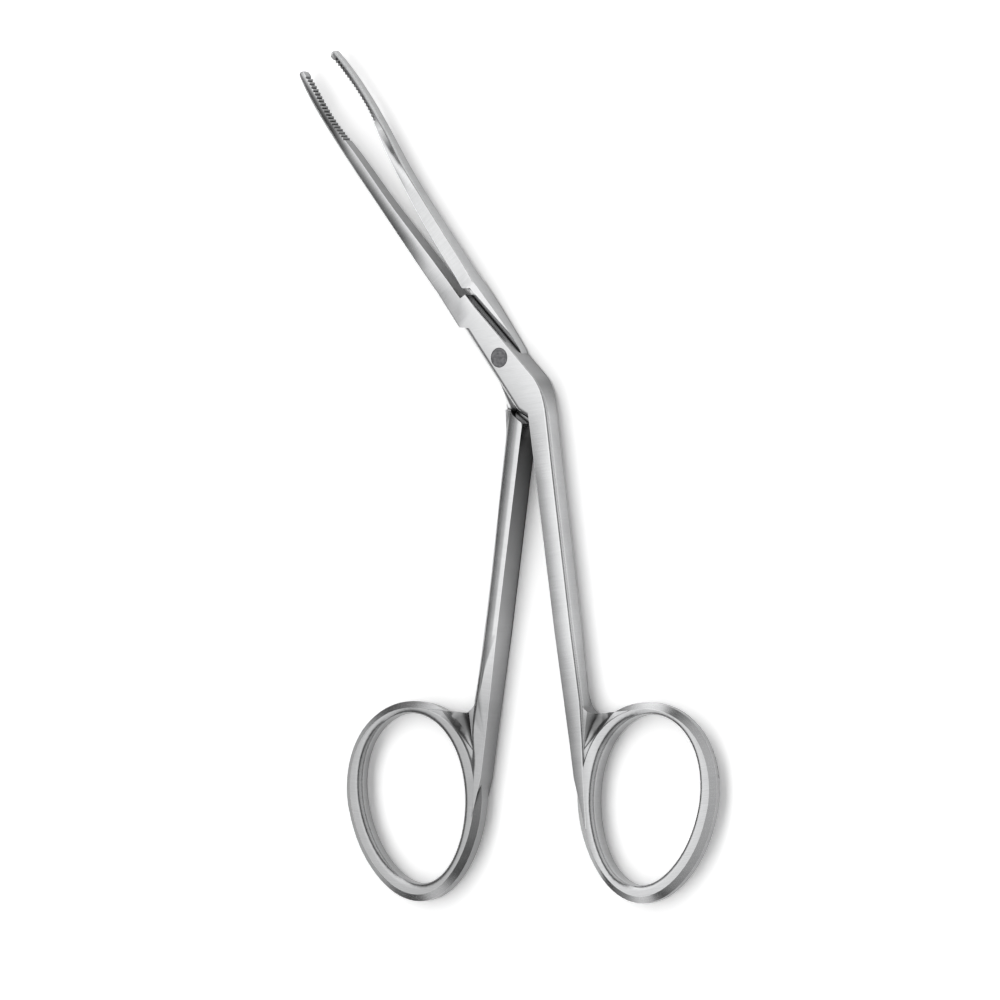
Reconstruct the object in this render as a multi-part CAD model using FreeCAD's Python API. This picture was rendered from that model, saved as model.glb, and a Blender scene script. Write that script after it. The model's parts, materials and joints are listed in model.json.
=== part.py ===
import FreeCAD, Part
import math
import os
from FreeCAD import Vector

# Nasal dressing forceps, in millimetres. The two halves lap over each other at a flush rivet pin.
# The part is laid out with the pin's centre at x = y = 0 and the lap plane at z = 0, with the jaws
# towards +Y and the finger rings towards -Y, opened as it usually lies. It is then set down so
# that the middle of its bounding box is at x = y = 0 and its flat underside at z = 0.

# Joint
body_thickness = 4.1
lap_clearance = 0.04
shoulder_gap = 0.12
closing_angle = 5.6
upper_plate_right = 2.25
upper_plate_right_lean = 45.3
upper_plate_left = 2.55
upper_plate_top = 11.3
recess_flare = 2.8
recess_top_gap = 0.42
raised_side_top_y = -7.7
lower_plate_left = 2.85
lower_plate_left_lean = 28.0
lower_plate_right = 2.62
plate_left_end = 8.2
plate_crotch_y = -9.4
plate_left_round = 1.0
upper_left_corner_radius = 1.2
plate_edge_round = 0.2

# Pivot pin: a shaft with a countersunk head at each face
pin_diameter = 2.2
pin_head_diameter = 2.92
pin_head_depth = 0.55
pin_running_clearance = 0.03

# Jaws. A point of a jaw is its distance from the pin along the jaws, and its distance outwards.
jaw_lean = 37.4
jaw_root = 8.6
jaw_neck = 14.5
jaw_neck_thickness = 2.74
jaw_tip_thickness = 1.4
jaw_edge_round = 0.45
heel_ramp_start = 1.5
heel_ramp_end = 12.0
heel_ramp_height = 1.62

left_heel = (8.0, 3.0)
left_notch = 7.6
left_outer = [left_heel, (20.0, 3.62), (34.0, 4.16), (48.0, 4.5), (53.6, 4.2)]
left_tip = (55.9, 3.3)
left_tip_radius = 0.56
left_grip = [(52.7, 2.92), (47.3, 3.22), (42.2, 2.8)]
left_inner = [(32.8, 2.28), (23.2, 1.48), (18.2, 1.02), (13.5, 0.64)]
left_crotch = (11.4, 0.38)

right_outer = [(12.0, 2.93), (24.0, 2.97), (33.1, 3.2), (41.5, 3.93), (46.8, 4.17), (52.2, 4.0)]
right_tip = (54.75, 3.12)
right_tip_radius = 0.6
right_grip = [(50.9, 3.05), (45.6, 3.2), (42.4, 2.9)]
right_inner = [(38.4, 2.11), (34.3, 1.67), (30.0, 1.27), (21.5, 0.84), (17.2, 0.76)]
right_crotch = (11.25, 0.76)

# Serrations, cut across the gripping faces
tooth_pitch = 0.61
tooth_depth = 0.24
tooth_count = 20
tooth_share = 0.8
left_first_tooth = (55.0, 2.84)
right_first_tooth = (53.8, 2.95)

# Shanks. The left shank and ring mirror the right ones about the line x = handle_middle.
handle_middle = 4.75
shank_inner_x = 1.43
shank_inner_start_y = -15.2
shank_inner_lean = 8.3
shank_outer_lean = 7.9
shank_width = 3.42
shank_edge_round = 0.65
shank_full_round = 1.9
shank_crown_radius = 7.0
shank_crown_lift = 0.03
shank_outer_end_y = -51.0
shank_foot_y = -60.5
shank_foot_width = 2.3
shank_toe_start_y = -62.5
shank_toe_y = -70.0
shank_toe_inset = 1.0
shank_toe_width = 0.6
shank_thinning_start_y = -41.0
shank_thinning_end_y = -57.0
upper_bend_radius = 10.0
lower_bend_radius = 15.0

# Finger rings: egg-shaped outlines. The rim lies around the hole by the limbs' widths.
ring_x = 20.73
ring_y = -65.66
ring_hole_half_x = 9.17
ring_hole_half_y = 12.72
ring_hole_egg = 0.088
ring_hole_lean = -9.4
ring_side_width = 3.03
ring_end_width = 2.23
ring_rim_offset_x = -0.05
ring_rim_offset_y = -0.42
ring_rim_egg = 0.117
ring_rim_lean = -5.8
ring_shank_side_thickness = 3.3
ring_far_side_thickness = 2.5
ring_hole_edge_round = 0.95
ring_rim_bevel_width = 0.65
ring_rim_bevel_height = 1.0
ring_outline_points = 16

# Web between a shank and its ring: a floor with a rounded upper corner and a tapered flute in each
# face. Its outline is given from the handles' middle, from its end inside the ring down the limb.
web_thickness = 2.9
web_inset = 1.15
flute_start = (9.75, -58.6)
flute_end = (12.7, -52.5)
flute_rise = 14.0
flute_half_angle = 22.5
web_corner_y = -53.0
web_corner_radius = 2.3
web_limb = [(17.95, -52.4), (15.05, -53.75), (12.75, -56.0), (11.4, -59.0), (10.4, -62.0)]

reach = 40.0
up = Vector(0, 0, 1)

# Numbers of the outlines' edges, counted from the jaw's outer edge over the tip
jaw_outer_edge = 0
jaw_tip_edge = 1
plate_side_edge = 4
bend_edge = 5
shank_outer_edge = 6
shank_foot_edge = 7
upper_left_edge = 14


def turned(point, degrees):
    """A plan point turned about the pin, anticlockwise from above."""
    a = math.radians(degrees)
    across = point.x * math.cos(a) - point.y * math.sin(a)
    along = point.x * math.sin(a) + point.y * math.cos(a)
    return Vector(across, along, 0)


def heading(degrees):
    """A plan direction, anticlockwise from +X."""
    return turned(Vector(1, 0, 0), degrees)


def jawward(lean):
    """The plan direction that leans this far from +Y, anticlockwise."""
    return turned(Vector(0, 1, 0), lean)


def ringward(lean):
    """The plan direction that leans this far from -Y, anticlockwise."""
    return turned(Vector(0, -1, 0), lean)


def meet(p, along_p, q, along_q):
    """Where the plan lines p + a * along_p and q + b * along_q meet."""
    cross = along_p.x * along_q.y - along_p.y * along_q.x
    gap = q.sub(p)
    return p.add(along_p * ((gap.x * along_q.y - gap.y * along_q.x) / cross))


def jaw_point(side, along, out):
    """A plan point of a jaw. side is 1 for the left jaw and -1 for the right jaw."""
    return jawward(jaw_lean) * along + heading(180 + jaw_lean) * (out * side)


def mirrored(point):
    return Vector(2 * handle_middle - point.x, point.y, 0)


def curve(points, start=None, end=None):
    """One smooth edge through the points, with the tangents given at its ends."""
    spline = Part.BSplineCurve()
    if start:
        spline.interpolate(Points=points, InitialTangent=start, FinalTangent=end)
    else:
        spline.interpolate(Points=points)
    return spline.toShape()


def run(points):
    """Straight edges through corners. A corner given with a radius is rounded by an arc."""
    edges = []
    here = points[0][0]
    for (corner, radius), (after, _) in zip(points[1:-1], points[2:]):
        back = here.sub(corner).normalize()
        ahead = after.sub(corner).normalize()
        if radius:
            half_turn = (math.pi - back.getAngle(ahead)) / 2
            setback = radius * math.tan(half_turn)
            middle = back.add(ahead).normalize() * (radius / math.cos(half_turn) - radius)
            first, last = corner + back * setback, corner + ahead * setback
            edges.append(Part.LineSegment(here, first).toShape())
            edges.append(Part.Arc(first, corner + middle, last).toShape())
            here = last
        else:
            edges.append(Part.LineSegment(here, corner).toShape())
            here = corner
    edges.append(Part.LineSegment(here, points[-1][0]).toShape())
    return edges


def prism(edges, low, high):
    """The solid between two heights above a closed plan outline."""
    face = Part.Face(Part.Wire(Part.__sortEdges__(edges)))
    solid = face.extrude(up * (high - low))
    solid.translate(up * low)
    return solid


def plan_area(points, low, high):
    return prism(run([(p, 0) for p in points + points[:1]]), low, high)


# Joint outlines, worked out from the plates' edges and the closing angle

half = body_thickness / 2
upper_right_out = heading(upper_plate_right_lean)
upper_right_along = ringward(upper_plate_right_lean)
upper_left_out = heading(180 + jaw_lean)
upper_left_along = ringward(jaw_lean)
lower_left_out = heading(180 + lower_plate_left_lean)
lower_left_along = ringward(lower_plate_left_lean)

shank_inner_along = ringward(shank_inner_lean)
shank_outer_along = ringward(shank_outer_lean)
shank_inner_top = Vector(handle_middle + shank_inner_x, shank_inner_start_y, 0)
shank_outer_top = Vector(handle_middle + shank_inner_x + shank_width, shank_inner_start_y, 0)

upper_crotch = meet(shank_inner_top, shank_inner_along, Vector(0, plate_crotch_y, 0), heading(0))
lower_crotch_y = turned(upper_crotch, -closing_angle).y
lower_inner_top = mirrored(shank_inner_top)
lower_inner_along = Vector(-shank_inner_along.x, shank_inner_along.y, 0)
lower_crotch = meet(lower_inner_top, lower_inner_along, Vector(0, lower_crotch_y, 0), heading(0))

upper_right = upper_right_out * upper_plate_right
upper_top = jawward(jaw_lean) * upper_plate_top
upper_corner = meet(upper_top, heading(jaw_lean), upper_right, upper_right_along)
upper_left_corner = jaw_point(1, -plate_left_end, upper_plate_left)
upper_notch = jaw_point(1, left_notch, upper_plate_left)
upper_bend = meet(upper_right, upper_right_along, shank_outer_top, shank_outer_along)
lower_outer_top = mirrored(shank_outer_top)
lower_outer_along = Vector(-shank_outer_along.x, shank_outer_along.y, 0)
lower_bend = meet(lower_left_out * lower_plate_left, lower_left_along, lower_outer_top, lower_outer_along)

# The lower plate's top left edge lies a gap below the left jaw's heel when the forceps are closed
heel_out = turned(jaw_point(1, *left_heel), -closing_angle)
heel_in = turned(jaw_point(1, *left_crotch), -closing_angle)
heel_along = heel_out.sub(heel_in).normalize()
heel_down = turned(heel_along, 90)
lower_edge = heel_in + heel_down * shoulder_gap
lower_corner = meet(lower_edge, heel_along, lower_left_out * lower_plate_left, lower_left_along)
lower_jaw_end = meet(lower_edge, heel_along, jaw_point(-1, *right_crotch), jawward(jaw_lean))

# The lower plate's right edge is round about the pin, then runs straight to its crotch
crotch_distance = lower_crotch.Length
crotch_bearing = math.degrees(math.atan2(lower_crotch.y, lower_crotch.x))
round_end = crotch_bearing + math.degrees(math.acos(lower_plate_right / crotch_distance))


def tip_arc(side, centre, radius):
    """The rounded end of a jaw, from its outer edge over the tip to its gripping face."""
    along, out = centre
    spots = [(math.cos(math.radians(a)), math.sin(math.radians(a))) for a in (65, 0, -80)]
    return [jaw_point(side, along + radius * c, out + radius * s) for c, s in spots]


def jaw_edges(side, outer, tip, tip_radius, inner, last):
    """The outline of a jaw, up its outer edge, over the tip and down its gripping face."""
    first, top, end = tip_arc(side, tip, tip_radius)
    outer_points = [jaw_point(side, *p) for p in outer] + [first]
    inner_points = [end] + [jaw_point(side, *p) for p in inner] + [last]
    return [curve(outer_points), Part.Arc(first, top, end).toShape(), curve(inner_points)]


def handle_end():
    """Corners of the right shank's lower end, which runs out inside the ring's limb."""
    outer_end = meet(shank_outer_top, shank_outer_along, Vector(0, shank_outer_end_y, 0), heading(0))
    foot = meet(shank_inner_top, shank_inner_along, Vector(0, shank_foot_y, 0), heading(0))
    toe = meet(shank_inner_top, shank_inner_along, Vector(0, shank_toe_y, 0), heading(0))
    toe_in = toe + heading(0) * shank_toe_inset
    toe_out = toe_in + heading(0) * shank_toe_width
    toe_start = meet(shank_inner_top, shank_inner_along, Vector(0, shank_toe_start_y, 0), heading(0))
    return [outer_end, foot + heading(0) * shank_foot_width, toe_out, toe_in, toe_start]


def upper_outline():
    inner = left_grip + left_inner
    jaw = jaw_edges(1, left_outer, left_tip, left_tip_radius, inner, jaw_point(1, *left_crotch))
    corners = [(jaw_point(1, *left_crotch), 0), (upper_corner, 0), (upper_bend, upper_bend_radius)]
    corners += [(corner, 0) for corner in handle_end()]
    corners += [(upper_crotch, 0), (upper_left_corner, upper_left_corner_radius)]
    corners += [(upper_notch, 0), (jaw_point(1, *left_heel), 0)]
    return jaw + run(corners)


def lower_outline():
    outer = [(0.0, lower_plate_right)] + right_outer
    inner = right_grip + right_inner
    jaw = jaw_edges(-1, outer, right_tip, right_tip_radius, inner, lower_jaw_end)
    bearings = (jaw_lean, (jaw_lean + round_end) / 2, round_end)
    round_points = [heading(a) * lower_plate_right for a in bearings]
    corners = [(lower_jaw_end, 0), (lower_corner, 0), (lower_bend, lower_bend_radius)]
    corners += [(mirrored(corner), 0) for corner in handle_end()]
    corners += [(lower_crotch, 0), (round_points[2], 0)]
    return jaw + run(corners) + [Part.Arc(*round_points).toShape()]


def side_profile(points, along):
    """A solid that changes in thickness. points pairs a distance along a direction and half the thickness."""
    across = turned(along, 90)
    corners = [along * d + up * z for d, z in points]
    corners += [along * d - up * z for d, z in reversed(points)]
    face = Part.Face(Part.makePolygon(corners + corners[:1]))
    solid = face.extrude(across * (6 * reach))
    solid.translate(across * (-3 * reach))
    return solid


def jaw_half_thickness(along):
    """Half the thickness of a jaw beyond its neck, which thins evenly towards the tip."""
    share = (along - jaw_neck) / (left_tip[0] - jaw_neck)
    return (jaw_neck_thickness + (jaw_tip_thickness - jaw_neck_thickness) * share) / 2


def jaw_profile():
    end = left_tip[0] + left_tip_radius + jaw_edge_round
    points = [(-4 * reach, half), (jaw_root, half), (jaw_neck, jaw_neck_thickness / 2)]
    points.append((end, jaw_half_thickness(end)))
    return side_profile(points, jawward(jaw_lean))


def shank_profile():
    foot = ring_shank_side_thickness / 2
    points = [(-3 * reach, half), (-shank_thinning_start_y, half)]
    points += [(-shank_thinning_end_y, foot), (3 * reach, foot)]
    return side_profile(points, ringward(0))


def egg(x, y, half_x, half_y, share, lean):
    """A closed egg-shaped plan curve about a centre that lies x to the right of the handles' middle."""
    centre = Vector(handle_middle + x, y, 0)
    points = []
    for i in range(ring_outline_points):
        a = 2 * math.pi * i / ring_outline_points
        across = half_x * math.cos(a) * (1 + share * math.sin(a))
        points.append(centre + turned(Vector(across, half_y * math.sin(a), 0), lean))
    spline = Part.BSplineCurve()
    spline.interpolate(Points=points, PeriodicFlag=True)
    return Part.Wire(spline.toShape())


def finger_ring():
    """The right finger ring, thicker on the shank's side, with a round-edged hole and a bevelled rim."""
    rim_half_x = ring_hole_half_x + ring_side_width
    rim_half_y = ring_hole_half_y + ring_end_width
    rim_x = ring_x + ring_rim_offset_x
    hole = egg(ring_x, ring_y, ring_hole_half_x, ring_hole_half_y, ring_hole_egg, ring_hole_lean)
    rim = egg(rim_x, ring_y + ring_rim_offset_y, rim_half_x, rim_half_y, ring_rim_egg, ring_rim_lean)
    ring = Part.Face(rim).cut(Part.Face(hole)).extrude(up * body_thickness)
    ring.translate(up * -half)
    near = handle_middle + rim_x - rim_half_x
    slope = (ring_far_side_thickness - ring_shank_side_thickness) / 2 / (2 * rim_half_x)
    spots = (near - rim_half_x, near + 3 * rim_half_x)
    wedge = [(d, ring_shank_side_thickness / 2 + slope * (d - near)) for d in spots]
    ring = ring.common(side_profile(wedge, heading(0)))
    long_edges = [e for e in ring.Edges if e.Length > rim_half_x]
    hole_edges = [e for e in long_edges if e.BoundBox.XLength < 2 * ring_hole_half_x + ring_side_width]
    ring = ring.makeFillet(ring_hole_edge_round, hole_edges)
    rim_edges = [e for e in ring.Edges if e.BoundBox.XLength > 2 * ring_hole_half_x + ring_side_width]
    return ring.makeChamfer(ring_rim_bevel_width, ring_rim_bevel_height, rim_edges)


def web():
    """The floor between the right shank and its ring, fluted on both faces."""
    limb = [Vector(handle_middle + x, y, 0) for x, y in web_limb]
    inside = heading(180) * web_inset
    top = meet(shank_outer_top, shank_outer_along, Vector(0, shank_outer_end_y + shank_width, 0), heading(0))
    corner = meet(shank_outer_top, shank_outer_along, Vector(0, web_corner_y, 0), heading(0))
    foot = meet(shank_inner_top, shank_inner_along, limb[-1], heading(0)) - inside
    corners = [(top + inside, 0), (corner, web_corner_radius)] + [(spot, 0) for spot in limb]
    corners += [(foot, 0), (top + inside, 0)]
    upper_flute = flute()
    lower_flute = upper_flute.mirror(Vector(0, 0, 0), up)
    floor = prism(run(corners), -web_thickness / 2, web_thickness / 2)
    return floor.cut(upper_flute).cut(lower_flute)


def flute():
    """A cone that rises from the flute's narrow end over the web and cuts a straight-sided groove."""
    start = Vector(handle_middle + flute_start[0], flute_start[1], web_thickness / 2)
    end = Vector(handle_middle + flute_end[0], flute_end[1], web_thickness / 2)
    along = end.sub(start).normalize()
    rise = math.radians(flute_rise)
    axis = along * math.cos(rise) + up * math.sin(rise)
    length = 2 * end.distanceToPoint(start)
    return Part.makeCone(0, length * math.tan(math.radians(flute_half_angle)), length, start, axis)


def crown():
    """What lies above the left shank's top, which is crowned and falls towards the outside."""
    outside = turned(lower_inner_along, -90)
    first = meet(lower_inner_top, lower_inner_along, Vector(0, raised_side_top_y + 1, 0), heading(0))
    last = meet(lower_inner_top, lower_inner_along, Vector(0, shank_toe_y, 0), heading(0))
    corners = [first, last, last + outside * (2 * shank_width), first + outside * (2 * shank_width)]
    below = up * (half + shank_crown_lift - shank_crown_radius)
    start = first - lower_inner_along * shank_width + below
    roller = Part.makeCylinder(shank_crown_radius, 2 * reach, start, lower_inner_along)
    return plan_area(corners, 0, body_thickness).cut(roller)


def lies_over(edge, outline_edge):
    """Whether an edge runs along an outline edge, above or below it."""
    low, high = edge.FirstParameter, edge.LastParameter
    spots = [edge.valueAt(low + (high - low) * share) for share in (0, 0.5, 1)]
    if abs(spots[0].z - spots[2].z) > body_thickness / 2:
        return False
    return all(Part.Vertex(s.x, s.y, 0).distToShape(outline_edge)[0] < 1e-4 for s in spots)


def rounded(solid, outline, roundings):
    """The solid with edges over its outline rounded.

    roundings pairs an outline edge's number with the radii at its upper and its lower end, first for
    the top face and then for the underside. A rounding carries on along edges that follow smoothly.
    """
    edges = []
    for number, edge in enumerate(solid.Edges, 1):
        for chosen, (top_radii, under_radii) in roundings.items():
            if lies_over(edge, outline[chosen]):
                above, below = top_radii if edge.CenterOfMass.z > 0 else under_radii
                top = max(vertex.Y for vertex in outline[chosen].Vertexes)
                foot = min(vertex.Y for vertex in outline[chosen].Vertexes)
                ends = (edge.valueAt(edge.FirstParameter).y, edge.valueAt(edge.LastParameter).y)
                radii = [below + (above - below) * (y - foot) / (top - foot) for y in ends]
                edges.append((number, radii[0], radii[1]))
    document = FreeCAD.newDocument()
    base = document.addObject("Part::Feature", "Base")
    base.Shape = solid
    feature = document.addObject("Part::Fillet", "Round")
    feature.Base = base
    feature.Edges = edges
    document.recompute()
    shape = feature.Shape.copy()
    FreeCAD.closeDocument(document.Name)
    return shape


def upper_recess():
    """What the upper half leaves free below the lap for the lower half."""
    heel_line = jaw_point(1, *left_heel).sub(jaw_point(1, *left_crotch)).normalize()
    crotch = jaw_point(1, *left_crotch)
    wall_out = heading(round_end + closing_angle)
    wall_along = ringward(round_end + closing_angle)
    wall = wall_out * (lower_plate_right + shoulder_gap)
    low = meet(wall, wall_along, Vector(0, shank_inner_start_y, 0), heading(0))
    high = wall - wall_along * reach
    corners = [crotch, crotch + heel_line * reach, low, high, crotch - heel_line * reach]
    return plan_area(corners, -body_thickness, lap_clearance / 2)


def lower_recess():
    """What the lower half leaves free above the lap for the upper half."""
    closed_corner = turned(upper_corner, -closing_angle)
    right_lean = upper_plate_right_lean - closing_angle + recess_flare
    right = closed_corner + heading(right_lean) * shoulder_gap
    right_along = ringward(right_lean)
    corner = meet(right, right_along, Vector(0, closed_corner.y + recess_top_gap, 0), heading(0))
    left = turned(upper_left_out, -closing_angle) * (upper_plate_left + shoulder_gap)
    left_along = turned(upper_left_along, -closing_angle)
    foot = turned(upper_crotch, -closing_angle)
    foot_along = foot.sub(turned(upper_left_corner, -closing_angle)).normalize()
    foot = foot - turned(foot_along, 90) * shoulder_gap
    foot_corner = meet(left, left_along, foot, foot_along)
    side_top = meet(left, left_along, Vector(0, raised_side_top_y, 0), heading(0))
    corners = [
        (corner, 0),
        (corner + right_along * reach, 0),
        (foot + foot_along * reach, 0),
        (foot_corner, upper_left_corner_radius + shoulder_gap),
        (side_top, 0),
        (side_top - heading(0) * reach, 0),
        (Vector(side_top.x - reach, corner.y, 0), 0),
        (corner, 0),
    ]
    return prism(run(corners), -lap_clearance / 2, body_thickness)


def heel_ramp():
    """What lies above the sloping top of the right jaw beside the joint."""
    slope = heel_ramp_height / (heel_ramp_end - heel_ramp_start)
    along = jawward(jaw_lean)
    across = turned(along, 90)
    floor = -lap_clearance / 2
    spots = [
        (-plate_left_end / 2, floor),
        (heel_ramp_start + floor / slope, floor),
        (jaw_neck, slope * (jaw_neck - heel_ramp_start)),
        (jaw_neck, body_thickness),
        (-plate_left_end / 2, body_thickness),
    ]
    face = Part.Face(Part.makePolygon([along * d + up * z for d, z in spots + spots[:1]]))
    solid = face.extrude(across * reach)
    solid.translate(across * (-reach / 2))
    return solid


def pin_shape(margin=0):
    """The pivot pin, or the hole for it with a margin all round."""
    shaft = pin_diameter / 2 + margin
    head = pin_head_diameter / 2 + margin
    corners = [
        Vector(0, 0, -half),
        Vector(head, 0, -half),
        Vector(shaft, 0, pin_head_depth - half),
        Vector(shaft, 0, half - pin_head_depth),
        Vector(head, 0, half),
        Vector(0, 0, half),
    ]
    return Part.Face(Part.makePolygon(corners + corners[:1])).revolve(Vector(0, 0, 0), up, 360)


def teeth(side, gripping_edge, first):
    """Vee cutters across a gripping face, square to its edge. first is the tooth nearest the tip."""
    face = gripping_edge.Curve
    place = face.parameter(jaw_point(side, *first))
    cutters = []
    for _ in range(tooth_count):
        spot = face.value(place)
        along = face.tangent(place)[0]
        cutters.append(vee(spot, along, turned(along, -90 * side)))
        place = face.parameter(spot + along * tooth_pitch)
    return Part.makeCompound(cutters)


def vee(spot, along, into):
    """A vee-shaped cutter through the jaw's thickness. into points from the gripping face into the jaw."""
    wide = tooth_pitch * tooth_share / 2
    away = into * tooth_pitch
    mouth = along * (wide * (tooth_pitch + tooth_depth) / tooth_depth)
    return plan_area([spot + into * tooth_depth, spot + mouth - away, spot - mouth - away], -half, half)


def half_body(outline, steps, trims, handle, recesses, bore, tooth_cutters):
    body = prism(outline, -half, half).common(jaw_profile()).common(shank_profile())
    for step in steps:
        body = rounded(body, outline, step)
    for trim in trims:
        body = body.cut(trim)
    body = body.fuse(handle)
    for recess in recesses:
        body = body.cut(recess)
    return body.cut(bore).cut(tooth_cutters)


os.makedirs("parts", exist_ok=True)
thin = (plate_edge_round, plate_edge_round)
crisp = (shank_edge_round, shank_edge_round)
full = (shank_full_round, shank_full_round)
jaw_top = (jaw_edge_round, plate_edge_round)
jaw_tip = (jaw_edge_round, jaw_edge_round)
toeing = (shank_full_round, shank_edge_round)
jaw_rounding = {jaw_outer_edge: (jaw_top, jaw_top), jaw_tip_edge: (jaw_tip, jaw_tip)}
upper_plate = {
    plate_side_edge: (thin, thin),
    bend_edge: ((plate_edge_round, shank_edge_round), (plate_edge_round, shank_full_round)),
    shank_outer_edge: (crisp, full),
    shank_foot_edge: (crisp, toeing),
}
lower_plate = {
    bend_edge: (full, (plate_edge_round, shank_edge_round)),
    shank_foot_edge: (toeing, crisp),
}
left_wall = {upper_left_edge: ((plate_left_round, plate_left_round), thin)}
right_handle = finger_ring().fuse(web())
left_handle = right_handle.mirror(Vector(handle_middle, 0, 0), Vector(1, 0, 0))
upper = half_body(
    upper_outline(), [jaw_rounding, upper_plate, left_wall], [], right_handle, [upper_recess()],
    pin_shape(pin_running_clearance), teeth(1, upper_outline()[2], left_first_tooth),
)
lower = half_body(
    lower_outline(), [jaw_rounding, lower_plate], [crown()], left_handle, [lower_recess(), heel_ramp()],
    pin_shape(), teeth(-1, lower_outline()[2], right_first_tooth),
)
parts = {"upper_half": upper, "lower_half": lower, "pivot_pin": pin_shape()}
box = Part.makeCompound(list(parts.values())).optimalBoundingBox(False, False)
shift = Vector(-box.Center.x, -box.Center.y, half)
for name, shape in parts.items():
    shape.translate(shift)
    shape.exportStep("parts/" + name + ".step")
    print(name, "valid" if shape.isValid() else "not valid", len(shape.Solids), "solid")
print("pivot at", round(shift.x, 4), round(shift.y, 4), "overall", round(box.XLength, 2), round(box.YLength, 2))
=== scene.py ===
import json
import math

import bpy
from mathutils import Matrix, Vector


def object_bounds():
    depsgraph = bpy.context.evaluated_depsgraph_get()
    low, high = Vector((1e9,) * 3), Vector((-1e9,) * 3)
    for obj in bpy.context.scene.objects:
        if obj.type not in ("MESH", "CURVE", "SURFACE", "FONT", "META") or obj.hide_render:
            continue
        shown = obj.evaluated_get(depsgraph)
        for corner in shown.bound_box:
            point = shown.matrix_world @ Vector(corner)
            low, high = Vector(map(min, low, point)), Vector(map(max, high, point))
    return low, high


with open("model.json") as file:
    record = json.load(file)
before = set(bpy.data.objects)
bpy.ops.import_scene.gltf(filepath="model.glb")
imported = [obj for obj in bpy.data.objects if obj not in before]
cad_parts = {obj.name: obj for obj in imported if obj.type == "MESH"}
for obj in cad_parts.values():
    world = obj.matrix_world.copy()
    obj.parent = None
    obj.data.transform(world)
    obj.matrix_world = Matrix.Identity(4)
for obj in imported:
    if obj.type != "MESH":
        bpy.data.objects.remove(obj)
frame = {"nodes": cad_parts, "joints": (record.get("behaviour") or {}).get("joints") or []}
first_lowest, first_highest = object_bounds()

# Blender's lengths are in metres. The finish is given in millimetres, and its places are measured
# from the pivot.
mm = 0.001
pivot = Vector(frame["joints"][0]["pos_m"])
thickness = first_highest.z

# Camera: it looks from the right at this angle, from far enough away to be nearly parallel. The
# pivot's place in the photograph is in pixels, and the distances are in metres.
camera_tilt = math.radians(34.0)
camera_distance = 4.0
camera_clip = (0.1, 20.0)
photo_width = 148.8 * mm
photo_pivot = (506.8, 357.7)
photo_size = 1000
sensor_width = 36.0

# Brushing runs across the shanks and the jaws, with this many streaks to the metre in each direction
streak_scale = (220, 9000, 220)
streak_detail = 4.0
streak_range = (0.25, 0.75)
streak_depth = 0.01
streak_strength = 0.18
shank_lean = 8.1
jaw_lean = 37.4

# Where the brushing turns from the shanks' way to the jaws' way, towards +Y
jaw_start = 2.0
jaw_full = 8.0

# Broader mottling: the noise's scale to the metre, its share, and its darkest and lightest shade
steel_mottle = (300, 0.4, 0.9, 1.08)
pin_mottle = (2200, 0.75, 0.6, 1.35)
mottle_detail = 5.0
mottle_range = (0.35, 0.65)
mottle_roughness = 0.05

# Painted edge light: a painted highlight along the steel's rounded edges, and a painted dark outline
# around the pin's edges. How near an edge it reaches, and pairs of how well the rounded edge still agrees
# with its face and how much of the painted edge tone it takes there
edge_reach = 0.12
painted_edge_share = ((0.995, 0.0), (0.93, 1.0))
edge_samples = 6

# By place along +Y: painted shade towards the rings and beside the narrow ends of the gaps, and darker
# towards the jaw tips. Each pair is a place and how much of the steel's brightness is left there.
ring_top = -42.0
ring_middle = -52.0
jaw_darkening = ((14.0, 1.0), (30.0, 0.85))
shank_gap_shades = (((-12.0, 0.1), (-6.0, 1.0)), ((-13.0, 0.1), (-50.0, 1.0)))
jaw_gap_shades = (((-9.0, 1.0), (1.0, 0.0)), ((6.0, 0.5), (40.0, 0.8)))

# Painted shade by the way a face points: walls and faces that point left are painted darker. Each pair is
# how far it points up or right, and how much of the steel's brightness is left.
wall_shade = ((0.1, 0.78), (0.5, 1.0))
left_face_shade = ((-0.3, 1.0), (-0.7, 0.42))
# The dark colour that painted shade darkens the steel towards
painted_shade_colour = (0.02, 0.02, 0.02, 1)

# How far a face points right, and how much of a gap's painted shade it takes
right_face_share = ((0.5, 0.0), (0.8, 1.0))

# Painted shade in crevices, creases and gaps: how near things stand, the openness where the painted
# shade is full and where it ends, and how much of the steel's brightness is left where it is full
broad_crevice = (2.5, 0.1, 0.7, 0.8)
fine_crevice = (0.5, 0.62, 0.97, 0.05)
crevice_samples = 8

# Painted shade in the web's flute between a shank and its ring. Its middle is measured from the line
# between the two handles, and it fades out between two heights above the web's face.
handle_middle = 4.75
web_middle = (12.3, -54.6)
web_shade_radii = (1.2, 3.6)
web_half_thickness = 1.45
web_fade = (0.01, 0.07)
web_shade = 0.3

# Painted shade in the right jaw's serrations, where the notches lie in shadow, measured along the jaws
# and out from their middle. Each is a painted dot with a dark core and a rim, a little way in from the
# gripping edge.
tooth_pitch = 0.61
tip_tooth = 53.8
teeth_start = 42.2
teeth_end = 54.2
teeth_fade = 0.1
gripping_edge = (((42.4, 2.9), (45.6, 3.2)), ((45.6, 3.2), (53.8, 2.95)))
tooth_dot_radii = (0.152, 0.247)
tooth_dot_depth = 0.26
tooth_shade = 0.02

# Finishes
# The edge tone paints a highlight along the steel's edges, and a dark outline along the pin's
steel = {"base": (0.56, 0.563, 0.568), "roughness": 0.22, "painted_edge_tone": 1.3, "mottle": steel_mottle}
dark_steel = {"base": (0.14, 0.14, 0.145), "roughness": 0.4, "painted_edge_tone": 0.3, "mottle": pin_mottle}
crease_angle = 28.0
weld_reach = 0.001

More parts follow.
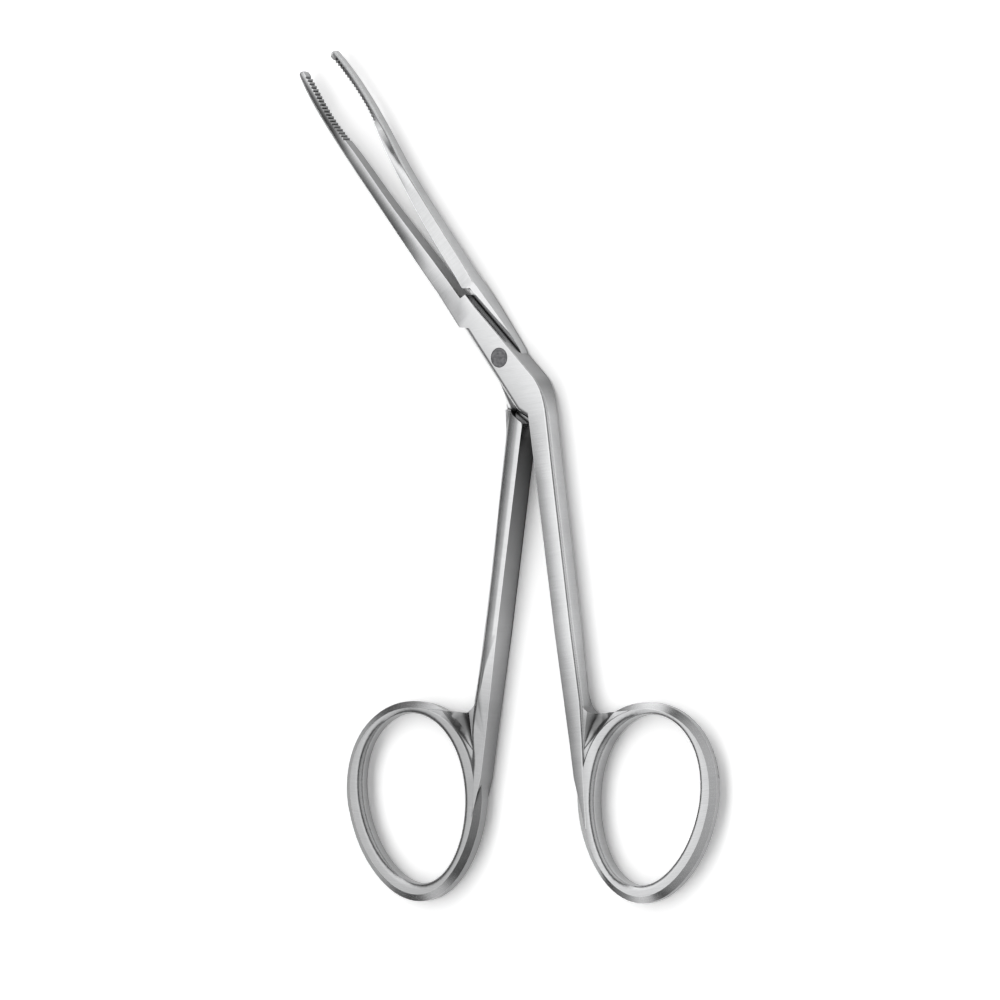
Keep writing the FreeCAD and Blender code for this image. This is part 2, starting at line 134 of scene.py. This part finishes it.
# Floor: its half width in metres, how far it lies below the part, and its colour as the light and as
# the camera finds it
floor_reach = 1.5
floor_drop = 0.02
floor_colour = (0.8, 0.8, 0.8, 1)
seen_floor_colour = (1.4, 1.4, 1.4, 1)

# Studio light: angles from overhead towards +X, each with a brightness, and how much brighter +Y is
light_bands = [
    (-90, 0.1), (-75, 0.15), (-62, 0.3), (-50, 0.65), (-38, 1.45), (-20, 1.8), (0, 1.4), (6, 0.8),
    (10, 0.02), (23, 0.02), (28, 0.5), (40, 0.7), (55, 1.0), (75, 0.75), (90, 0.5),
]
top_share = 0.25


def node_tree(owner):
    owner.use_nodes = True
    tree = owner.node_tree
    tree.nodes.clear()
    return tree


def add(tree, kind, inputs=None, **settings):
    """Adds a shader node. inputs maps a socket to a value or to another node's output."""
    node = tree.nodes.new(kind)
    for name, value in settings.items():
        setattr(node, name, value)
    for socket, value in (inputs or {}).items():
        if isinstance(value, bpy.types.NodeSocket):
            tree.links.new(value, node.inputs[socket])
        else:
            node.inputs[socket].default_value = value
    return node


def formula(tree, operation, *values):
    """A math node's result. Values are numbers or other nodes' outputs."""
    return add(tree, "ShaderNodeMath", dict(enumerate(values)), operation=operation).outputs[0]


def vector(tree, operation, first, second):
    """A vector math node's result."""
    node = add(tree, "ShaderNodeVectorMath", {0: first, 1: second}, operation=operation)
    return node.outputs["Value" if operation == "DOT_PRODUCT" else "Vector"]


def mix(tree, share, first, second, kind="FLOAT"):
    """A mix node's result. kind is FLOAT or RGBA."""
    node = add(tree, "ShaderNodeMix", {"Factor": share}, data_type=kind)
    wanted = {"FLOAT": "VALUE"}.get(kind, kind)
    sockets = [socket for socket in node.inputs if socket.type == wanted and socket.name in "AB"]
    for socket, value in zip(sockets, (first, second)):
        if isinstance(value, bpy.types.NodeSocket):
            tree.links.new(value, socket)
        else:
            socket.default_value = value
    return next(socket for socket in node.outputs if socket.type == wanted)


def ramp(tree, value, first, last):
    """A value between two pairs of input and output, held at both ends."""
    limits = {"From Min": first[0], "From Max": last[0], "To Min": first[1], "To Max": last[1]}
    return add(tree, "ShaderNodeMapRange", {"Value": value, **limits}).outputs["Result"]


def line_at(x, y, lean):
    """A line through a place, with its angle from +Y in degrees."""
    return (pivot + Vector((x, y, 0)) * mm, math.radians(lean))


def across(tree, place, line):
    """How far, in millimetres, a place lies to the right of a line."""
    point, lean = line
    out = Vector((math.cos(lean), math.sin(lean), 0)) / mm
    return formula(tree, "SUBTRACT", vector(tree, "DOT_PRODUCT", place, out), out.dot(point))


def noise(tree, place, scale, detail):
    inputs = {"Vector": place, "Scale": scale, "Detail": detail}
    return add(tree, "ShaderNodeTexNoise", inputs).outputs["Fac"]


def streaks(tree, place, lean):
    """Noise drawn out across a line that leans this far from +Y, as a brush leaves it."""
    turn = (0, 0, -math.radians(lean))
    turned = add(tree, "ShaderNodeMapping", {"Vector": place, "Rotation": turn}).outputs[0]
    stretched = add(tree, "ShaderNodeMapping", {"Vector": turned, "Scale": streak_scale}).outputs[0]
    return noise(tree, stretched, 1.0, streak_detail)


def tinted(base, share):
    """A colour with its brightness multiplied, and an opaque alpha."""
    return (*(min(1.0, level * share) for level in base), 1)


def crown(ridge, drop, reach, *span):
    """A crowned face. Its height drops by drop millimetres at one millimetre from its ridge line.

    reach is how far it curves to either side. span holds places along +Y, in pairs, where the crown
    starts and where it is full.
    """
    return {"ridge": line_at(*ridge), "drop": drop, "reach": reach, "span": span}


def crowning(tree, place, beyond, face):
    """The height of a crowned face, which drops from its ridge as a parabola does, and then evenly."""
    aside = formula(tree, "ABSOLUTE", across(tree, place, face["ridge"]))
    bent = formula(tree, "MINIMUM", aside, face["reach"])
    arm = formula(tree, "SUBTRACT", formula(tree, "ADD", aside, aside), bent)
    drop = formula(tree, "MULTIPLY", formula(tree, "MULTIPLY", bent, arm), -face["drop"] * mm)
    for start, full in face["span"]:
        drop = formula(tree, "MULTIPLY", drop, ramp(tree, beyond, (start, 0.0), (full, 1.0)))
    return drop


def relief(tree, place, beyond, crowns, grain):
    """The surface's direction with its crowned faces and the brushing on them."""
    height = 0.0
    for face in crowns:
        height = formula(tree, "ADD", height, crowning(tree, place, beyond, face))
    crowned = add(tree, "ShaderNodeBump", {"Height": height, "Strength": 1.0, "Distance": 1.0})
    brushed = add(tree, "ShaderNodeBump", {
        "Height": grain,
        "Strength": streak_strength,
        "Distance": streak_depth * mm,
        "Normal": crowned.outputs["Normal"],
    })
    return brushed.outputs["Normal"]


def gap_shade(tree, beyond, rightwards, shades):
    """Painted shade on the walls that face right, at the narrow end of a gap: the lighter of two ramps."""
    lighter = formula(tree, "MAXIMUM", *(ramp(tree, beyond, *stretch) for stretch in shades))
    return mix(tree, ramp(tree, rightwards, *right_face_share), 1.0, lighter)


def crevice_shade(tree, reach, closed, opened, shade):
    """Painted shade where something stands nearer than reach on all sides, in crevices and creases."""
    inputs = {"Distance": reach * mm}
    air = add(tree, "ShaderNodeAmbientOcclusion", inputs, samples=crevice_samples).outputs["AO"]
    return mix(tree, ramp(tree, air, (closed, 0.0), (opened, 1.0)), shade, 1.0)


def web_flute_shade(tree, place, side):
    """Painted shade in the web's flute. side is 1 for the right handle and -1 for the left handle."""
    middle = pivot + Vector((handle_middle + side * web_middle[0], web_middle[1], 0)) * mm
    flat = vector(tree, "MULTIPLY", vector(tree, "SUBTRACT", place, middle), (1, 1, 0))
    away = formula(tree, "SQRT", vector(tree, "DOT_PRODUCT", flat, flat))
    near, far = web_shade_radii
    spot = ramp(tree, away, (near * mm, web_shade), (far * mm, 1.0))
    from_middle = vector(tree, "SUBTRACT", place, (0, 0, thickness / 2))
    depth = formula(tree, "ABSOLUTE", vector(tree, "DOT_PRODUCT", from_middle, (0, 0, 1 / mm)))
    low, high = web_fade
    inside = ramp(tree, depth, (web_half_thickness + low, 1.0), (web_half_thickness + high, 0.0))
    return mix(tree, inside, 1.0, spot)


def serration_shade(tree, place):
    """Painted shade: a dark dot where a serration is cut into the gripping edge."""
    along = across(tree, place, line_at(0, 0, jaw_lean + 90))
    out = across(tree, place, line_at(0, 0, jaw_lean))
    edge = formula(tree, "MINIMUM", *(ramp(tree, along, *stretch) for stretch in gripping_edge))
    inwards = formula(tree, "SUBTRACT", out, formula(tree, "ADD", edge, tooth_dot_depth))
    beside = formula(tree, "PINGPONG", formula(tree, "SUBTRACT", along, tip_tooth), tooth_pitch / 2)
    squares = [formula(tree, "MULTIPLY", part, part) for part in (inwards, beside)]
    distance = formula(tree, "SQRT", formula(tree, "ADD", *squares))
    core, rim = tooth_dot_radii
    dot = ramp(tree, distance, (core, tooth_shade), (rim, 1.0))
    begun = ramp(tree, along, (teeth_start, 0.0), (teeth_start + teeth_fade, 1.0))
    unended = ramp(tree, along, (teeth_end, 0.0), (teeth_end - teeth_fade, 1.0))
    return mix(tree, formula(tree, "MULTIPLY", begun, unended), 1.0, dot)


def painted_shading(tree, place, facing, beyond, ring_shade, gap_shades, handle_side, toothed):
    """The steel's painted shade and darkening, as a product: 1 leaves it as it is, and 0 is the shade
    colour.
    """
    sides = add(tree, "ShaderNodeSeparateXYZ", {0: facing}).outputs
    shades = [
        ramp(tree, beyond, (ring_top, 1.0), (ring_middle, ring_shade)),
        ramp(tree, beyond, *jaw_darkening),
        ramp(tree, formula(tree, "ABSOLUTE", sides["Z"]), *wall_shade),
        ramp(tree, sides["X"], *left_face_shade),
    ]
    if gap_shades:
        shades.append(gap_shade(tree, beyond, sides["X"], gap_shades))
    for crevice in (broad_crevice, fine_crevice):
        shades.append(crevice_shade(tree, *crevice))
    if handle_side:
        shades.append(web_flute_shade(tree, place, handle_side))
    if toothed:
        shades.append(serration_shade(tree, place))
    unshaded = 1.0
    for shading in shades:
        unshaded = formula(tree, "MULTIPLY", unshaded, shading)
    return unshaded


def brushed_steel(
    name, base, roughness, painted_edge_tone, mottle,
    shank_way=shank_lean, crowns=(), ring_shade=1.0, gap_shades=(), handle_side=0, toothed=False,
):
    """Satin steel, brushed across the shanks and across the jaws.

    The edge tone is how much lighter the steel is painted along its edges, as a painted highlight, or
    how much darker, as a painted dark outline. shank_way is the shank's lean, and ring_shade is how
    much of the steel's brightness the painted shade leaves at the ring. The gap ramps are two ramps
    along +Y for the painted shade on the wall beside a gap. handle_side is 1 or -1 for the right or
    left handle and 0 for none, and toothed is whether painted shade is put in the serrations.
    """
    mottle_scale, mottle_share, darkest, lightest = mottle
    material = bpy.data.materials.new(name)
    tree = node_tree(material)
    place = add(tree, "ShaderNodeTexCoord").outputs["Object"]
    facing = add(tree, "ShaderNodeNewGeometry").outputs["Normal"]
    beyond = across(tree, place, line_at(0, 0, 90))

    jaw_share = ramp(tree, beyond, (jaw_start, 0.0), (jaw_full, 1.0))
    grain = mix(tree, jaw_share, streaks(tree, place, shank_way), streaks(tree, place, jaw_lean))
    contrast = ramp(tree, grain, (streak_range[0], 0.0), (streak_range[1], 1.0))
    broad = noise(tree, place, mottle_scale, mottle_detail)
    blotch = ramp(tree, broad, (mottle_range[0], 0.0), (mottle_range[1], 1.0))
    mottling = mix(tree, mottle_share, contrast, blotch)
    shade = mix(tree, mottling, tinted(base, darkest), tinted(base, lightest), "RGBA")

    # Painted edge light: a painted highlight, or a painted dark outline, along the rounded edges
    inputs = {"Radius": edge_reach * mm}
    rounded = add(tree, "ShaderNodeBevel", inputs, samples=edge_samples).outputs["Normal"]
    painted_edge = ramp(tree, vector(tree, "DOT_PRODUCT", rounded, facing), *painted_edge_share)
    shade = mix(tree, painted_edge, shade, tinted(base, painted_edge_tone), "RGBA")

    # Painted shade: darker in crevices, gaps, webs and serrations, on walls, and towards the rings
    unshaded = painted_shading(tree, place, facing, beyond, ring_shade, gap_shades, handle_side, toothed)
    shade = mix(tree, unshaded, painted_shade_colour, shade, "RGBA")

    surface = add(tree, "ShaderNodeBsdfPrincipled", {
        "Base Color": shade,
        "Metallic": 1.0,
        "Roughness": ramp(tree, blotch, (0.0, roughness), (1.0, roughness + mottle_roughness)),
        "Normal": relief(tree, place, beyond, crowns, grain),
    })
    add(tree, "ShaderNodeOutputMaterial", {"Surface": surface.outputs[0]})
    return material


def crease_group(angle_limit):
    """Geometry nodes that keep edges sharper than an angle crisp and smooth all others."""
    group = bpy.data.node_groups.new("creases", "GeometryNodeTree")
    group.interface.new_socket("Geometry", in_out="INPUT", socket_type="NodeSocketGeometry")
    group.interface.new_socket("Geometry", in_out="OUTPUT", socket_type="NodeSocketGeometry")
    source = group.nodes.new("NodeGroupInput")
    target = group.nodes.new("NodeGroupOutput")
    angle = group.nodes.new("GeometryNodeInputMeshEdgeAngle")
    soft = group.nodes.new("FunctionNodeCompare")
    soft.operation = "LESS_THAN"
    soft.inputs["B"].default_value = angle_limit
    shade = group.nodes.new("GeometryNodeSetShadeSmooth")
    shade.domain = "EDGE"
    group.links.new(angle.outputs["Unsigned Angle"], soft.inputs["A"])
    group.links.new(source.outputs[0], shade.inputs["Geometry"])
    group.links.new(soft.outputs["Result"], shade.inputs["Shade Smooth"])
    group.links.new(shade.outputs["Geometry"], target.inputs[0])
    return group


def finish_piece(node, creases, material):
    """Gives a CAD node its material and smooth shading with crisp edges."""
    piece = frame["nodes"][node]
    piece.data.materials.clear()
    piece.data.materials.append(material)
    for face in piece.data.polygons:
        face.use_smooth = True
    weld = piece.modifiers.new("Weld", "WELD")
    weld.merge_threshold = weld_reach * mm
    sharp = piece.modifiers.new("Creases", "NODES")
    sharp.node_group = creases
    normals = piece.modifiers.new("Normals", "WEIGHTED_NORMAL")
    normals.keep_sharp = True


def paper_floor():
    """A pale floor that shows white to the camera and in reflections, and keeps the part's shadow."""
    mesh = bpy.data.meshes.new("floor")
    corners = [(x * floor_reach, y * floor_reach, 0) for x, y in ((-1, -1), (1, -1), (1, 1), (-1, 1))]
    mesh.from_pydata(corners, [], [(0, 1, 2, 3)])
    floor = bpy.data.objects.new("floor", mesh)
    bpy.context.collection.objects.link(floor)
    floor.location.z = -floor_drop * mm
    paper = bpy.data.materials.new("paper")
    tree = node_tree(paper)
    rays = add(tree, "ShaderNodeLightPath").outputs
    seen = formula(tree, "ADD", rays["Is Camera Ray"], rays["Is Glossy Ray"])
    seen = formula(tree, "ADD", seen, rays["Is Transmission Ray"])
    shade = mix(tree, seen, floor_colour, seen_floor_colour, "RGBA")
    diffuse = add(tree, "ShaderNodeBsdfDiffuse", {"Color": shade})
    add(tree, "ShaderNodeOutputMaterial", {"Surface": diffuse.outputs[0]})
    mesh.materials.append(paper)
    return floor


def studio_light():
    """A world that is lit in bands from left to right over the part, as by softboxes."""
    world = bpy.data.worlds.new("studio")
    bpy.context.scene.world = world
    tree = node_tree(world)
    towards = add(tree, "ShaderNodeTexCoord").outputs["Generated"]
    parts = add(tree, "ShaderNodeSeparateXYZ", {0: towards}).outputs
    angle = formula(tree, "ARCTAN2", parts["X"], parts["Z"])
    share = formula(tree, "MULTIPLY_ADD", angle, 0.5 / math.pi, 0.5)
    colours = add(tree, "ShaderNodeValToRGB", {"Fac": share})
    for _ in light_bands[2:]:
        colours.color_ramp.elements.new(0.5)
    ceiling = max(level for _, level in light_bands)
    for element, (degrees, level) in zip(colours.color_ramp.elements, light_bands):
        element.position = 0.5 + degrees / 360
        element.color = (level / ceiling, level / ceiling, level / ceiling, 1)
    lift = formula(tree, "MULTIPLY_ADD", parts["Y"], top_share, 1.0)
    strength = formula(tree, "MULTIPLY", lift, ceiling)
    surround = add(tree, "ShaderNodeBackground", {"Color": colours.outputs["Color"], "Strength": strength})
    add(tree, "ShaderNodeOutputWorld", {"Surface": surround.outputs[0]})


def photo_camera():
    """The camera at the photograph's angle, with the pivot where the photograph has it."""
    data = bpy.data.cameras.new("camera")
    data.sensor_width = sensor_width
    data.lens = sensor_width * camera_distance / photo_width
    data.clip_start, data.clip_end = camera_clip
    camera = bpy.data.objects.new("camera", data)
    bpy.context.collection.objects.link(camera)
    towards_camera = Vector((math.sin(camera_tilt), 0, math.cos(camera_tilt)))
    camera_right = Vector((math.cos(camera_tilt), 0, -math.sin(camera_tilt)))
    pixel = photo_width / photo_size
    aim = pivot + camera_right * ((photo_size / 2 - photo_pivot[0]) * pixel)
    aim += Vector((0, (photo_pivot[1] - photo_size / 2) * pixel, 0))
    camera.location = aim + towards_camera * camera_distance
    camera.rotation_euler = (0, camera_tilt, 0)
    return camera


# Crowned faces of the upper half: its shank, its plate, and the left jaw from its root to its teeth
upper_crowns = [
    crown((8.85, -15.2, shank_lean), 0.04, 2.4, (-8, -18)),
    crown((1.6, 1.6, 45.3), 0.011, 5.0, (-18, -8), (9, 5)),
    crown((-8.7, 10.3, 41.0), 0.03, 3.0, (5, 9), (18, 13)),
    crown((-21.7, 24.7, 41.0), 0.12, 2.0, (13, 18), (34, 30)),
    crown((-27.9, 31.8, 38.0), 0.25, 1.4, (30, 34)),
]

# Crowned faces of the lower half: the lap beside the plate, and the right jaw's middle and teeth
lower_crowns = [
    crown((-1.2, -4.5, 28.0), 0.6, 0.45, (-1, -3), (-7.9, -7.7)),
    crown((-20.2, 29.4, 40.0), 0.3, 0.95, (24.5, 29), (34, 30.5)),
    crown((-24.02, 35.0, 37.4), 0.6, 0.5, (30, 36.5)),
]

# Each half takes painted shade at its ring, beside its gap and in its web; the lower half also in its
# serrations
upper_steel = brushed_steel(
    "upper_steel", **steel, crowns=upper_crowns, ring_shade=0.74, gap_shades=jaw_gap_shades, handle_side=1,
)
lower_steel = brushed_steel(
    "lower_steel", **steel, shank_way=-shank_lean, crowns=lower_crowns, ring_shade=0.6,
    gap_shades=shank_gap_shades, handle_side=-1, toothed=True,
)
pin_steel = brushed_steel("pin_steel", **dark_steel)
creases = crease_group(math.radians(crease_angle))
finish_piece("upper_half", creases, upper_steel)
finish_piece("lower_half", creases, lower_steel)
finish_piece("pivot_pin", creases, pin_steel)

floor = paper_floor()
studio_light()
bpy.context.scene.camera = photo_camera()
bpy.context.scene.view_settings.view_transform = "Standard"
